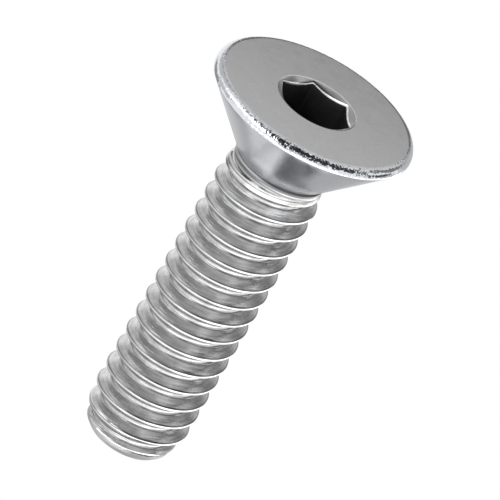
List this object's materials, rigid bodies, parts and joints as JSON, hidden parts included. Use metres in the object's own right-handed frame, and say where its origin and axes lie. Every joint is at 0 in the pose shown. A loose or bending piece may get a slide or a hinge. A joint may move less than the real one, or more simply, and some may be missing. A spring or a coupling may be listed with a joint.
{
  "type": "countersunk socket screw",
  "caption": "Flat-head screw with a countersunk cone under its head, a hex socket in its flat face, a right-hand thread up to the neck and a chamfered point.",
  "frame": {"origin": "centre of the head's flat face, which is the middle of the bottom of the screw's box as it stands on its head", "axes": "+Z along the screw's axis, from the flat face of the head towards the point; X and Y are square to it, and the head is the same all round apart from the hex socket"},
  "size_m": [0.0126, 0.0126, 0.0247],
  "materials": {
    "screw_steel": "satin"
  },
  "bodies": {
    "root": {"screw": "screw_steel"}
  },
  "joints": []
}
